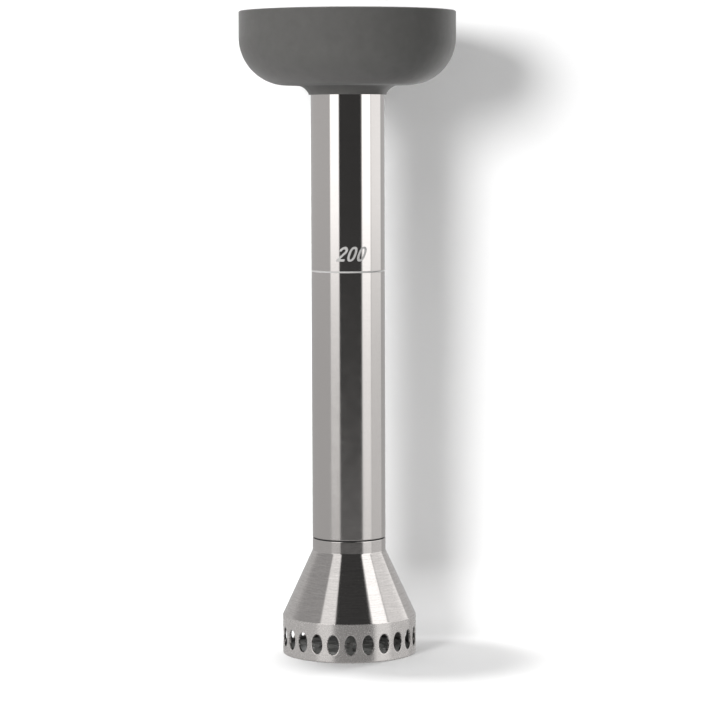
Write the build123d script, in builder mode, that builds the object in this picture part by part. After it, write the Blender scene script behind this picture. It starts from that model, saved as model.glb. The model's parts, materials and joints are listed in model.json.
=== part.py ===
from math import atan2, cos, degrees, radians, sin, sqrt, tan
import os

from build123d import *

# Immersion circulator: a stick with a bowl-shaped head, a steel tube and a perforated push-fit foot.
# Millimetres. The axis of the tube is Z, the front is -Y, and the foot stands on Z = 0.

# --- Foot: collar, cone and perforated cylinder ---
FOOT_R = 34.8
FOOT_WALL = 1.2
CYLINDER_TOP = 20.0
CONE_TOP = 54.0
COLLAR_TOP = 60.4
HOLE_COUNT = 24
HOLE_HALF_WIDTH = 3.1
HOLE_HALF_HEIGHT = 5.15
HOLE_Z = 9.2
BASE_LOW = 0.8
BASE_HIGH = 2.4
BASE_SPOKES = 6

# --- Tube ---
TUBE_R = 19.05
TUBE_BORE = 18.05
TUBE_LOW = 61.0
TUBE_HIGH = 304.0
DEPTH_LINE_Z = 200.0
DEPTH_LINE_WIDTH = 0.9
DEPTH_LINE_DEPTH = 0.1

# --- Bulkhead, the plug that closes the lower end of the tube ---
SPIGOT_R = 17.55
SPIGOT_LOW = 50.0
BULKHEAD_TOP = 72.0
SEAL_Z = 55.8
SEAL_MINOR = 1.0
SEAL_MAJOR = 16.75
SEAL_GROOVE_R = 15.7
SEAL_GROOVE_HALF = 1.05
GASKET_R = 18.6
GASKET_LOW = 60.5

# --- Shaft line ---
SHAFT_R = 2.0
SHAFT_LOW = 3.2
SHAFT_HIGH = 142.0
RUNNING_BORE = 2.03
SUPPORT_R = 4.2
SUPPORT_BORE = 3.0
SUPPORT_LOW = 17.0
SUPPORT_HIGH = 58.0
BUSH_R = 3.6
SEAL_POCKET_LOW = 62.0
BUSH_LOW = 65.8
IMPELLER_R = 15.5
IMPELLER_LOW = 5.2
IMPELLER_HIGH = 14.0
IMPELLER_BLADES = 6

# --- Heater, probe and level pins ---
HEATER_TUBE_R = 1.9
OUTER_RING_R = 12.0
OUTER_BEND_R = 4.0
OUTER_RING_Z = 24.0
OUTER_LEG_SPREAD = 18.0
INNER_RING_R = 6.7
INNER_BEND_R = 3.2
INNER_RING_Z = 34.0
INNER_LEG_SPREAD = 30.0
LEG_TOP = 76.0
NUT_R = 3.3
PROBE_R = 2.0
PROBE_AT = 12.8
PROBE_ANGLE = 200.0
PROBE_LOW = 31.0
PIN_R = 1.1
PIN_AT = 13.2
PIN_ANGLES = (-20.0, -38.0)
PIN_LOW = 44.0

# --- Motor ---
BRACKET_LOW = 92.0
BRACKET_HIGH = 95.0
MOTOR_R = 14.5
MOTOR_WALL = 1.2
CAN_BOTTOM = 2.0
MOTOR_HIGH = 139.5
CORE_R = 11.3
CORE_LOW = 104.0
CORE_HIGH = 130.0
MAGNET_BORE = 11.8
MAGNET_LOW = 101.0
MAGNET_HIGH = 133.0
MAGNET_GAP = 8.0
BEARING_R = 4.5
BEARING_HEIGHT = 4.0
END_CAP_THICK = 3.0

# --- Leads ---
LEAD_R = 1.2
LEAD_AT = 16.3
LEAD_RISE = 80.0
LEAD_SET = 86.0
MOTOR_LEAD_AT = 9.0

# --- Head ---
HEAD_R = 56.1
HEAD_TOP = 334.0
HEAD_WALL = 2.4
CORNER_R = 24.8
CORNER_Z = 320.6
NECK_R = 20.1
NECK_LOW = 291.0
NECK_FILLET = 7.2
NECK_FILLET_AT = 26.8
NECK_SEAL_Z = 294.2
NECK_SEAL_MINOR = 0.75
CLAMP_R = 24.6
CLAMP_THICK = 4.0
CLAMP_SCREWS_AT = 22.0
CLAMP_SCREW_DEPTH = 3.0
LEDGE_R = 50.5
LEDGE_LOW = 328.0
LEDGE_HIGH = 330.2
COVER_R = 53.3
COVER_LOW = 331.0
COVER_HIGH = 333.7
COVER_BOSS_R = 3.6
BOARD_BOSS_R = 2.6
CASE_SCREW_DEPTH = 7.0
CONTROL_SCREW_DEPTH = 6.0
POST_AT = 25.5
POST_R = 4.2
POST_TOP = 324.0
POST_SHELF = 306.0
POST_ROOT = 298.0
PLUG_TOP = 300.0
PLUG_GAP = 0.06
STANDOFF_AT = 40.0
STANDOFF_R = 3.2
STANDOFF_ROOT = 298.9
STANDOFF_HOLE_DEPTH = 6.0
POWER_BOARD_LOW = 308.0
POWER_BOARD_R = 46.0
BOARD_THICK = 1.6
CONTROL_BOARD_LOW = 320.4
CONTROL_BOSS_SPOTS = [(-32, -14), (32, -14), (-32, 10), (32, 10)]

# --- Buttons and display in the top cover ---
BUTTON_SPOTS = {"minus": (-15, -30), "power": (0, -30), "plus": (15, -30)}
BUTTON_R = 5.5
BUTTON_HOLE_R = 5.8
BUTTON_TOP = 333.9
BUTTON_FLANGE_R = 6.8
LENS_SIZE = (48, 22)
LENS_CORNER = 5.0
LENS_THICK = 1.8
WINDOW_SIZE = (42, 16)
LENS_Y = 2.0

# --- Pieces on the boards: width, depth, height and the X and Y of the centre ---
RELAY_SIZE = (15, 18, 14.5)
RELAY_AT = (12, 29)
CORE_SIZE = (21, 16, 13)
BOBBIN_SIZE = (13, 16.8, 15)
TRANSFORMER_AT = (-10, 28)
TERMINAL_SIZE = (9, 13, 10)
TERMINAL_AT = (-36, 20)
TERMINAL_SCREW_R = 2.2
CAPACITOR_R = 5.5
CAPACITOR_HEIGHT = 17.0
CAPACITOR_AT = (36, 21.5)
SINK_SIZE = (30, 12, 8)
SINK_BASE = 2.5
SINK_AT = (0, -28)
SINK_FINS = 7
BUZZER_R = 6.0
BUZZER_HEIGHT = 6.5
BUZZER_AT = (24, -4)
CONNECTOR_SIZE = (22, 3)
CONNECTOR_AT = (0, 11.5)
DISPLAY_SIZE = (40, 15)
DISPLAY_HIGH = 330.6
SWITCH_WIDTH = 6.0
SWITCH_HEIGHT = 3.5
PLUNGER_R = 1.7
PLUNGER_HEIGHT = 0.8

# --- Screws: head radius, head height and shank radius ---
BRACKET_SCREW = (2.7, 2.0, 1.5)
CLAMP_SCREW = (2.1, 1.6, 1.1)
CASE_SCREW = (2.8, 2.4, 1.5)
CONTROL_SCREW = (2.2, 1.4, 1.1)
POWER_SCREW = (2.4, 1.6, 1.2)

# --- Cord gland in the back of the head ---
GLAND_Z = 322.0
GLAND_R = 6.0
GLAND_BORE = 3.75
GLAND_OUT = 55.4
GLAND_IN = 45.0
GLAND_BOSS_R = 8.1
GLAND_BOSS_Y = 50.0

os.makedirs("parts", exist_ok=True)

FLOOR = CORNER_Z - CORNER_R + HEAD_WALL
NECK_FILLET_Z = CORNER_Z - CORNER_R - NECK_FILLET
HEAD_INSIDE_R = HEAD_R - HEAD_WALL
POST_SPOTS = [(x, y) for x in (-POST_AT, POST_AT) for y in (-POST_AT, POST_AT)]
POWER_BOARD_HIGH = POWER_BOARD_LOW + BOARD_THICK
CONTROL_BOARD_HIGH = CONTROL_BOARD_LOW + BOARD_THICK


def around(radius, angle):
    """The X and Y of a place at this radius and angle about the tube's axis."""
    return radius * cos(radians(angle)), radius * sin(radians(angle))


CLAMP_SPOTS = [around(CLAMP_SCREWS_AT, angle) for angle in (45, 135, 225, 315)]
STANDOFF_SPOTS = [around(STANDOFF_AT, angle) for angle in (0, 90, 180, 270)]


def save(part, name):
    """Name a finished piece and write it."""
    part.label = name
    export_step(part, f"parts/{name}.step")


def on_arc(centre, radius, angle):
    """A point of an outline's arc, from the arc's centre."""
    across, up = around(radius, angle)
    return centre[0] + across, centre[1] + up


def rings(outer, inner, low, high, spots=((0, 0),)):
    """Upright rings, or plain cylinders where inner is 0, one at each spot."""
    with BuildPart() as ring:
        with BuildSketch(Plane.XY.offset(low)):
            with Locations(*spots):
                Circle(outer)
                if inner:
                    Circle(inner, mode=Mode.SUBTRACT)
        extrude(amount=high - low)
    return ring.part


def o_ring(major, minor, height):
    """A rubber ring of round section."""
    with BuildPart() as seal:
        with BuildSketch(Plane.XZ):
            with Locations((major, height)):
                Circle(minor)
        revolve(axis=Axis.Z)
    return seal.part


def screws(size, seat, tip, spots):
    """Pan-head screws with a cross recess; the head sits on the seat, on the side away from the tip."""
    head_r, head_height, shank_r = size
    outwards = 1 if tip < seat else -1
    with BuildPart() as group:
        with BuildSketch(Plane.XY.offset(seat)):
            with Locations(*spots):
                Circle(head_r)
        extrude(amount=outwards * head_height)
        with BuildSketch(Plane.XY.offset(seat)):
            with Locations(*spots):
                Circle(shank_r)
        extrude(amount=tip - seat)
        with BuildSketch(Plane.XY.offset(seat + outwards * head_height)):
            with Locations(*spots):
                Rectangle(head_r * 1.2, head_r * 0.3)
                Rectangle(head_r * 0.3, head_r * 1.2)
        extrude(amount=-outwards * head_height * 0.4, mode=Mode.SUBTRACT)
    return group.part


def block(width, depth, low, high, centre, corner=0.6):
    """An upright block with rounded corners, centred on an X and Y."""
    with BuildPart() as body:
        with BuildSketch(Plane.XY.offset(low)):
            with Locations(centre):
                RectangleRounded(width, depth, corner)
        extrude(amount=high - low)
    return body.part


# ----------------------------------------------------------------------------- foot


def foot_shell():
    """Drawn steel foot: one wall thickness, with a row of oval holes round the cylinder."""
    slope = atan2(FOOT_R - TUBE_R, CONE_TOP - CYLINDER_TOP)
    drop = FOOT_WALL * tan(slope / 2)
    with BuildPart() as foot:
        with BuildSketch(Plane.XZ):
            with BuildLine():
                Polyline(
                    (FOOT_R, 0),
                    (FOOT_R, CYLINDER_TOP),
                    (TUBE_R, CONE_TOP),
                    (TUBE_R, COLLAR_TOP),
                    (TUBE_R - FOOT_WALL, COLLAR_TOP),
                    (TUBE_R - FOOT_WALL, CONE_TOP - drop),
                    (FOOT_R - FOOT_WALL, CYLINDER_TOP - drop),
                    (FOOT_R - FOOT_WALL, 0),
                    close=True,
                )
            make_face()
        revolve(axis=Axis.Z)
        for step in range(HOLE_COUNT // 2):
            x, y = around(1, 90 + step * 360 / HOLE_COUNT)
            across = Plane(origin=(0, 0, HOLE_Z), x_dir=(-y, x, 0), z_dir=(x, y, 0))
            with BuildSketch(across):
                Ellipse(HOLE_HALF_WIDTH, HOLE_HALF_HEIGHT)
            extrude(amount=FOOT_R + 1, both=True, mode=Mode.SUBTRACT)
    return foot.part


def foot_base():
    """Intake grille pressed into the foot: rim, middle ring and hub, joined by spokes."""
    rim = FOOT_R - FOOT_WALL
    with BuildPart() as base:
        with BuildSketch(Plane.XY.offset(BASE_LOW)):
            Circle(rim)
            Circle(rim - 4.5, mode=Mode.SUBTRACT)
            with PolarLocations(rim / 2, BASE_SPOKES, start_angle=30):
                Rectangle(rim - 4, 2.6)
            Circle(18.6)
            Circle(16.2, mode=Mode.SUBTRACT)
            with PolarLocations(10.5, BASE_SPOKES, start_angle=30):
                Rectangle(14, 2.6)
            Circle(5.0)
        extrude(amount=BASE_HIGH - BASE_LOW)
    return base.part


# ------------------------------------------------------------------- lower end of the tube


def tube():
    """Steel tube with an etched depth line."""
    with BuildPart() as body:
        with BuildSketch(Plane.XY.offset(TUBE_LOW)):
            Circle(TUBE_R)
            Circle(TUBE_BORE, mode=Mode.SUBTRACT)
        extrude(amount=TUBE_HIGH - TUBE_LOW)
        with BuildSketch(Plane.XY.offset(DEPTH_LINE_Z - DEPTH_LINE_WIDTH / 2)):
            Circle(TUBE_R + 1)
            Circle(TUBE_R - DEPTH_LINE_DEPTH, mode=Mode.SUBTRACT)
        extrude(amount=DEPTH_LINE_WIDTH, mode=Mode.SUBTRACT)
    return body.part


def leg_place(ring_r, bend_r):
    """How far from the axis a heater leg stands, and how far past its bend the ring starts."""
    return sqrt(ring_r**2 + bend_r**2), degrees(atan2(bend_r, ring_r))


def leg_angles(middle, spread):
    """Angles of the two legs of one heater loop."""
    return middle - spread, middle + spread


def heater_coil(ring_r, bend_r, ring_z, middle, spread):
    """A bent tubular element: a leg, a bend, most of a ring round the shaft, a bend and a leg."""
    turn = leg_place(ring_r, bend_r)[1]
    start = middle + spread + turn
    end = middle - spread - turn + 360
    ends = []
    for angle, way in ((start, 1), (end, -1)):
        x, y = around(ring_r, angle)
        along = Vector(-sin(radians(angle)), cos(radians(angle)), 0) * way
        up = Vector(0, 0, 1)
        low = Vector(x, y, ring_z)
        centre = low + up * bend_r
        outer = centre - along * bend_r
        middle_point = centre - (along + up) * (bend_r / sqrt(2))
        top = Vector(outer.X, outer.Y, LEG_TOP)
        ends.append((top, outer, middle_point, low))
    half = around(ring_r, (start + end) / 2)
    with BuildPart() as coil:
        with BuildLine():
            Line(ends[0][0], ends[0][1])
            ThreePointArc(ends[0][1], ends[0][2], ends[0][3])
            ThreePointArc(ends[0][3], (*half, ring_z), ends[1][3])
            ThreePointArc(ends[1][3], ends[1][2], ends[1][1])
            Line(ends[1][1], ends[1][0])
        with BuildSketch(Plane(origin=ends[0][0], z_dir=(0, 0, -1))):
            Circle(HEATER_TUBE_R)
        sweep()
    return coil.part


OUTER_LEG_AT = leg_place(OUTER_RING_R, OUTER_BEND_R)[0]
INNER_LEG_AT = leg_place(INNER_RING_R, INNER_BEND_R)[0]
LEG_SPOTS = [around(OUTER_LEG_AT, a) for a in leg_angles(90, OUTER_LEG_SPREAD)]
LEG_SPOTS += [around(INNER_LEG_AT, a) for a in leg_angles(270, INNER_LEG_SPREAD)]
PIN_SPOTS = [around(PIN_AT, a) for a in PIN_ANGLES]
PROBE_SPOT = around(PROBE_AT, PROBE_ANGLE)


def bulkhead():
    """Moulded plug with a spigot for the foot, a seal groove, and ports for all that passes through."""
    with BuildPart() as plug:
        with BuildSketch(Plane.XZ):
            with BuildLine():
                Polyline(
                    (0, SPIGOT_LOW),
                    (SPIGOT_R - 0.8, SPIGOT_LOW),
                    (SPIGOT_R, SPIGOT_LOW + 0.8),
                    (SPIGOT_R, SEAL_Z - SEAL_GROOVE_HALF),
                    (SEAL_GROOVE_R, SEAL_Z - SEAL_GROOVE_HALF),
                    (SEAL_GROOVE_R, SEAL_Z + SEAL_GROOVE_HALF),
                    (SPIGOT_R, SEAL_Z + SEAL_GROOVE_HALF),
                    (SPIGOT_R, TUBE_LOW),
                    (TUBE_BORE, TUBE_LOW),
                    (TUBE_BORE, BULKHEAD_TOP),
                    (0, BULKHEAD_TOP),
                    close=True,
                )
            make_face()
        revolve(axis=Axis.Z)
        with BuildSketch(Plane.XY.offset(SPIGOT_LOW)):
            Circle(SHAFT_R + 0.4)
            with Locations(*LEG_SPOTS):
                Circle(HEATER_TUBE_R)
            with Locations(PROBE_SPOT):
                Circle(PROBE_R)
            with Locations(*PIN_SPOTS):
                Circle(PIN_R)
        extrude(amount=BULKHEAD_TOP - SPIGOT_LOW, mode=Mode.SUBTRACT)
        with BuildSketch(Plane.XY.offset(SPIGOT_LOW)):
            Circle(SUPPORT_R)
        extrude(amount=SUPPORT_HIGH - SPIGOT_LOW, mode=Mode.SUBTRACT)
        with BuildSketch(Plane.XY.offset(SEAL_POCKET_LOW)):
            Circle(BUSH_R)
        extrude(amount=BULKHEAD_TOP - SEAL_POCKET_LOW, mode=Mode.SUBTRACT)
    return plug.part


def heater_nuts():
    """Four hexagon nuts that hold the heater legs down on the bulkhead."""
    with BuildPart() as nuts:
        with BuildSketch(Plane.XY.offset(BULKHEAD_TOP)):
            with Locations(*LEG_SPOTS):
                RegularPolygon(NUT_R, 6)
                Circle(HEATER_TUBE_R, mode=Mode.SUBTRACT)
        extrude(amount=2.6)
    return nuts.part


def temperature_probe():
    """Closed steel sheath with a rounded tip."""
    with BuildPart() as probe:
        with BuildSketch(Plane.XY.offset(PROBE_LOW)):
            with Locations(PROBE_SPOT):
                Circle(PROBE_R)
        extrude(amount=LEG_TOP - PROBE_LOW)
        fillet(probe.edges().group_by(Axis.Z)[0], radius=PROBE_R * 0.8)
    return probe.part


# ------------------------------------------------------------------------------ rotor


def impeller():
    """Open pump wheel: hub, thin back disc and six swept blades."""
    with BuildPart() as wheel:
        with BuildSketch(Plane.XY.offset(IMPELLER_LOW)):
            Circle(4.6)
        extrude(amount=IMPELLER_HIGH - IMPELLER_LOW)
        with BuildSketch(Plane.XY.offset(IMPELLER_HIGH - 1.4)):
            Circle(IMPELLER_R)
        extrude(amount=1.4)
        with BuildSketch(Plane.XY.offset(IMPELLER_LOW + 0.8)):
            with PolarLocations(0, IMPELLER_BLADES):
                with BuildLine():
                    inner = ThreePointArc((3.8, -0.8), (9.6, 1.4), (IMPELLER_R - 0.8, 6.0))
                    outer = ThreePointArc((3.8, 0.8), (8.8, 3.0), (IMPELLER_R - 1.9, 7.2))
                    Line(inner @ 0, outer @ 0)
                    Line(inner @ 1, outer @ 1)
                make_face()
        extrude(amount=IMPELLER_HIGH - IMPELLER_LOW - 1.0)
        with BuildSketch(Plane.XY.offset(IMPELLER_LOW)):
            Circle(SHAFT_R)
        extrude(amount=IMPELLER_HIGH - IMPELLER_LOW, mode=Mode.SUBTRACT)
    return wheel.part


def impeller_nut():
    """Hexagon nut on the lower end of the shaft."""
    with BuildPart() as nut:
        with BuildSketch(Plane.XY.offset(SHAFT_LOW + 0.2)):
            RegularPolygon(3.6, 6)
            Circle(SHAFT_R, mode=Mode.SUBTRACT)
        extrude(amount=IMPELLER_LOW - SHAFT_LOW - 0.2)
    return nut.part


def rotor_core():
    """Laminated rotor with nine winding slots."""
    with BuildPart() as core:
        with BuildSketch(Plane.XY.offset(CORE_LOW)):
            Circle(CORE_R)
            with PolarLocations(CORE_R - 2.2, 9):
                Rectangle(5.2, 1.7, mode=Mode.SUBTRACT)
            Circle(SHAFT_R, mode=Mode.SUBTRACT)
        extrude(amount=CORE_HIGH - CORE_LOW)
    return core.part


# ------------------------------------------------------------------------------ motor

BRACKET_NOTCHES = [*leg_angles(90, OUTER_LEG_SPREAD), *leg_angles(270, INNER_LEG_SPREAD), PROBE_ANGLE]
BRACKET_SCREW_SPOTS = [(8.0, 0), (-8.0, 0)]


def motor_bracket():
    """Disc pressed into the tube, notched at its edge for the leads."""
    with BuildPart() as disc:
        with BuildSketch(Plane.XY.offset(BRACKET_LOW)):
            Circle(TUBE_BORE)
            with Locations(*[around(LEAD_AT + 0.6, angle) for angle in BRACKET_NOTCHES]):
                Circle(LEAD_R + 0.9, mode=Mode.SUBTRACT)
            Circle(SHAFT_R + 1.0, mode=Mode.SUBTRACT)
            with Locations(*BRACKET_SCREW_SPOTS):
                Circle(BRACKET_SCREW[2], mode=Mode.SUBTRACT)
        extrude(amount=BRACKET_HIGH - BRACKET_LOW)
    return disc.part


def motor_can():
    """Deep-drawn can, open at the top."""
    with BuildPart() as can:
        with BuildSketch(Plane.XY.offset(BRACKET_HIGH)):
            Circle(MOTOR_R)
        extrude(amount=MOTOR_HIGH - BRACKET_HIGH)
        with BuildSketch(Plane.XY.offset(BRACKET_HIGH + CAN_BOTTOM)):
            Circle(MOTOR_R - MOTOR_WALL)
        extrude(amount=MOTOR_HIGH - BRACKET_HIGH - CAN_BOTTOM, mode=Mode.SUBTRACT)
        with BuildSketch(Plane.XY.offset(BRACKET_HIGH)):
            Circle(BEARING_R)
            with Locations(*BRACKET_SCREW_SPOTS):
                Circle(BRACKET_SCREW[2])
        extrude(amount=CAN_BOTTOM, mode=Mode.SUBTRACT)
    return can.part


def motor_magnets():
    """Two arc magnets on the wall of the can."""
    with BuildPart() as magnets:
        with BuildSketch(Plane.XY.offset(MAGNET_LOW)):
            Circle(MOTOR_R - MOTOR_WALL)
            Circle(MAGNET_BORE, mode=Mode.SUBTRACT)
            Rectangle(MAGNET_GAP, 4 * MOTOR_R, mode=Mode.SUBTRACT)
        extrude(amount=MAGNET_HIGH - MAGNET_LOW)
    return magnets.part


def lead(points):
    """A lead on straight runs, with arcs as large as the shorter run beside each corner allows."""
    spots = [Vector(*point) for point in points]
    runs = [after - before for before, after in zip(spots, spots[1:])]
    radii = []
    for before, after in zip(runs, runs[1:]):
        half_turn = radians(before.get_angle(after)) / 2
        radii.append(0.45 * min(before.length, after.length) / tan(half_turn))
    with BuildPart() as wire:
        with BuildLine():
            if radii:
                FilletPolyline(*spots, radius=radii)
            else:
                Line(*spots)
        with BuildSketch(Plane(origin=spots[0], z_dir=runs[0])):
            Circle(LEAD_R)
        sweep()
    return wire.part


def rising_lead(radius, angle, start):
    """A lead that leaves a terminal, moves out beside the motor and rises to the power board."""
    return lead(
        [
            (*around(radius, angle), start),
            (*around(radius, angle), LEAD_RISE),
            (*around(LEAD_AT, angle), LEAD_SET),
            (*around(LEAD_AT, angle), POWER_BOARD_LOW),
        ]
    )


# ------------------------------------------------------------------------------- head


def head_shell():
    """Moulded bowl: upright wall, round corner, flat underside and a filleted neck on the tube."""
    lip_z = NECK_FILLET_Z + sqrt(NECK_FILLET**2 - (NECK_FILLET_AT - NECK_R) ** 2)
    underside = CORNER_Z - CORNER_R
    corner_at = HEAD_R - CORNER_R
    fillet_mid = on_arc((NECK_FILLET_AT, NECK_FILLET_Z), NECK_FILLET, 115)
    with BuildPart() as shell:
        with BuildSketch(Plane.XZ):
            with BuildLine():
                Polyline((TUBE_R, FLOOR), (TUBE_R, NECK_LOW), (NECK_R, NECK_LOW), (NECK_R, lip_z))
                ThreePointArc(
                    (NECK_R, lip_z),
                    fillet_mid,
                    (NECK_FILLET_AT, underside),
                )
                Line((NECK_FILLET_AT, underside), (corner_at, underside))
                ThreePointArc(
                    (corner_at, underside),
                    on_arc((corner_at, CORNER_Z), CORNER_R, -45),
                    (HEAD_R, CORNER_Z),
                )
                Polyline(
                    (HEAD_R, CORNER_Z),
                    (HEAD_R, HEAD_TOP - 0.5),
                    (HEAD_R - 0.5, HEAD_TOP),
                    (COVER_R + 0.1, HEAD_TOP),
                    (COVER_R + 0.1, LEDGE_HIGH),
                    (LEDGE_R, LEDGE_HIGH),
                    (LEDGE_R, LEDGE_LOW),
                    (HEAD_INSIDE_R, LEDGE_LOW),
                    (HEAD_INSIDE_R, CORNER_Z),
                )
                ThreePointArc(
                    (HEAD_INSIDE_R, CORNER_Z),
                    on_arc((corner_at, CORNER_Z), CORNER_R - HEAD_WALL, -45),
                    (corner_at, FLOOR),
                )
                Line((corner_at, FLOOR), (TUBE_R, FLOOR))
            make_face()
        revolve(axis=Axis.Z)
        with BuildSketch(Plane.XY.offset(POST_ROOT)):
            with Locations(*POST_SPOTS):
                Circle(POST_R)
        extrude(amount=POST_TOP - POST_ROOT)
        with BuildSketch(Plane.XY.offset(STANDOFF_ROOT)):
            with Locations(*STANDOFF_SPOTS):
                Circle(STANDOFF_R)
        extrude(amount=POWER_BOARD_LOW - STANDOFF_ROOT)
        with BuildSketch(Plane.XZ.offset(-GLAND_BOSS_Y)):
            with Locations((0, GLAND_Z)):
                Circle(GLAND_BOSS_R)
        extrude(amount=-(HEAD_INSIDE_R + 0.6 - GLAND_BOSS_Y))
        with BuildSketch(Plane.XZ.offset(-GLAND_IN)):
            with Locations((0, GLAND_Z)):
                Circle(GLAND_R)
        extrude(amount=-(HEAD_R + 1 - GLAND_IN), mode=Mode.SUBTRACT)
        with BuildSketch(Plane.XY.offset(NECK_LOW)):
            with Locations(*POST_SPOTS):
                Circle(CASE_SCREW[0] + 0.2)
        extrude(amount=POST_SHELF - NECK_LOW, mode=Mode.SUBTRACT)
        with BuildSketch(Plane.XY.offset(NECK_LOW)):
            with Locations(*POST_SPOTS):
                Circle(CASE_SCREW[2] + 0.2)
        extrude(amount=POST_TOP - NECK_LOW, mode=Mode.SUBTRACT)
        with BuildSketch(Plane.XY.offset(POWER_BOARD_LOW)):
            with Locations(*STANDOFF_SPOTS):
                Circle(POWER_SCREW[2])
        extrude(amount=-STANDOFF_HOLE_DEPTH, mode=Mode.SUBTRACT)
        with BuildSketch(Plane.XY.offset(FLOOR - CLAMP_SCREW_DEPTH)):
            with Locations(*CLAMP_SPOTS):
                Circle(CLAMP_SCREW[2])
        extrude(amount=CLAMP_SCREW_DEPTH, mode=Mode.SUBTRACT)
        with BuildSketch(Plane.XZ):
            with Locations((TUBE_R + NECK_SEAL_MINOR, NECK_SEAL_Z)):
                Rectangle(2 * NECK_SEAL_MINOR, 2 * NECK_SEAL_MINOR + 0.1)
        revolve(axis=Axis.Z, mode=Mode.SUBTRACT)
    return shell.part


def case_plugs():
    """Plugs that fill the screw holes beneath the bowl, flush with its rounded corner."""
    corner_at = HEAD_R - CORNER_R
    with BuildPart() as plugs:
        with BuildSketch(Plane.XZ):
            with BuildLine():
                ThreePointArc(
                    (corner_at, CORNER_Z - CORNER_R),
                    on_arc((corner_at, CORNER_Z), CORNER_R, -75),
                    on_arc((corner_at, CORNER_Z), CORNER_R, -60),
                )
                Polyline(
                    on_arc((corner_at, CORNER_Z), CORNER_R, -60),
                    (corner_at + CORNER_R / 2, PLUG_TOP),
                    (corner_at, PLUG_TOP),
                    (corner_at, CORNER_Z - CORNER_R),
                )
            make_face()
        revolve(axis=Axis.Z)
        with BuildSketch(Plane.XY.offset(NECK_LOW)):
            with Locations(*POST_SPOTS):
                Circle(CASE_SCREW[0] + 0.2 - PLUG_GAP)
        extrude(amount=PLUG_TOP - NECK_LOW, mode=Mode.INTERSECT)
    return plugs.part


def tube_clamp():
    """Ring that holds the tube, screwed to the floor of the bowl."""
    with BuildPart() as clamp:
        with BuildSketch(Plane.XY.offset(FLOOR)):
            Circle(CLAMP_R)
            Circle(TUBE_R, mode=Mode.SUBTRACT)
            with Locations(*CLAMP_SPOTS):
                Circle(CLAMP_SCREW[2], mode=Mode.SUBTRACT)
        extrude(amount=CLAMP_THICK)
    return clamp.part


def top_cover():
    """Disc that closes the bowl, with openings for the display and buttons and bosses beneath."""
    with BuildPart() as cover:
        with BuildSketch(Plane.XY.offset(COVER_LOW)):
            Circle(COVER_R)
        extrude(amount=COVER_HIGH - COVER_LOW)
        chamfer(cover.edges().group_by(Axis.Z)[-1], length=0.4)
        with BuildSketch(Plane.XY.offset(POST_TOP)):
            with Locations(*POST_SPOTS):
                Circle(COVER_BOSS_R)
        extrude(amount=COVER_LOW - POST_TOP)
        with BuildSketch(Plane.XY.offset(CONTROL_BOARD_HIGH)):
            with Locations(*CONTROL_BOSS_SPOTS):
                Circle(BOARD_BOSS_R)
        extrude(amount=COVER_LOW - CONTROL_BOARD_HIGH)
        with BuildSketch(Plane.XY.offset(POST_TOP)):
            with Locations(*POST_SPOTS):
                Circle(CASE_SCREW[2])
        extrude(amount=CASE_SCREW_DEPTH, mode=Mode.SUBTRACT)
        with BuildSketch(Plane.XY.offset(CONTROL_BOARD_HIGH)):
            with Locations(*CONTROL_BOSS_SPOTS):
                Circle(CONTROL_SCREW[2])
        extrude(amount=CONTROL_SCREW_DEPTH, mode=Mode.SUBTRACT)
        with BuildSketch(Plane.XY.offset(COVER_HIGH - LENS_THICK)):
            with Locations((0, LENS_Y)):
                RectangleRounded(*LENS_SIZE, LENS_CORNER)
        extrude(amount=LENS_THICK, mode=Mode.SUBTRACT)
        with BuildSketch(Plane.XY.offset(COVER_LOW)):
            with Locations((0, LENS_Y)):
                RectangleRounded(*WINDOW_SIZE, 2)
            with Locations(*BUTTON_SPOTS.values()):
                Circle(BUTTON_HOLE_R)
        extrude(amount=COVER_HIGH - COVER_LOW, mode=Mode.SUBTRACT)
    return cover.part


def button(spot):
    """Push button: cap with a soft edge, a flange that keeps it in, and a stem over its switch."""
    with BuildPart() as cap:
        with BuildSketch(Plane.XY.offset(COVER_LOW - 0.3)):
            with Locations(spot):
                Circle(BUTTON_R)
        extrude(amount=BUTTON_TOP - COVER_LOW + 0.3)
        fillet(cap.edges().group_by(Axis.Z)[-1], radius=0.6)
        with BuildSketch(Plane.XY.offset(COVER_LOW - 1.8)):
            with Locations(spot):
                Circle(BUTTON_FLANGE_R)
        extrude(amount=1.5)
        with BuildSketch(Plane.XY.offset(COVER_LOW - 3.6)):
            with Locations(spot):
                Circle(2.0)
        extrude(amount=1.8)
    return cap.part


def control_board():
    """Board under the cover, wide at the display and narrow at the buttons."""
    with BuildPart() as board:
        with BuildSketch(Plane.XY.offset(CONTROL_BOARD_LOW)):
            with Locations((0, -2.5)):
                RectangleRounded(74, 36, 2)
            with Locations((0, -28)):
                RectangleRounded(40, 22, 2)
            with Locations(*CONTROL_BOSS_SPOTS):
                Circle(CONTROL_SCREW[2], mode=Mode.SUBTRACT)
        extrude(amount=BOARD_THICK)
    return board.part


def power_board():
    """Round board in the bowl, with clearance round the case posts."""
    with BuildPart() as board:
        with BuildSketch(Plane.XY.offset(POWER_BOARD_LOW)):
            Circle(POWER_BOARD_R)
            with Locations(*POST_SPOTS):
                Circle(POST_R + 0.4, mode=Mode.SUBTRACT)
            with Locations(*STANDOFF_SPOTS):
                Circle(POWER_SCREW[2], mode=Mode.SUBTRACT)
        extrude(amount=BOARD_THICK)
    return board.part


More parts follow.
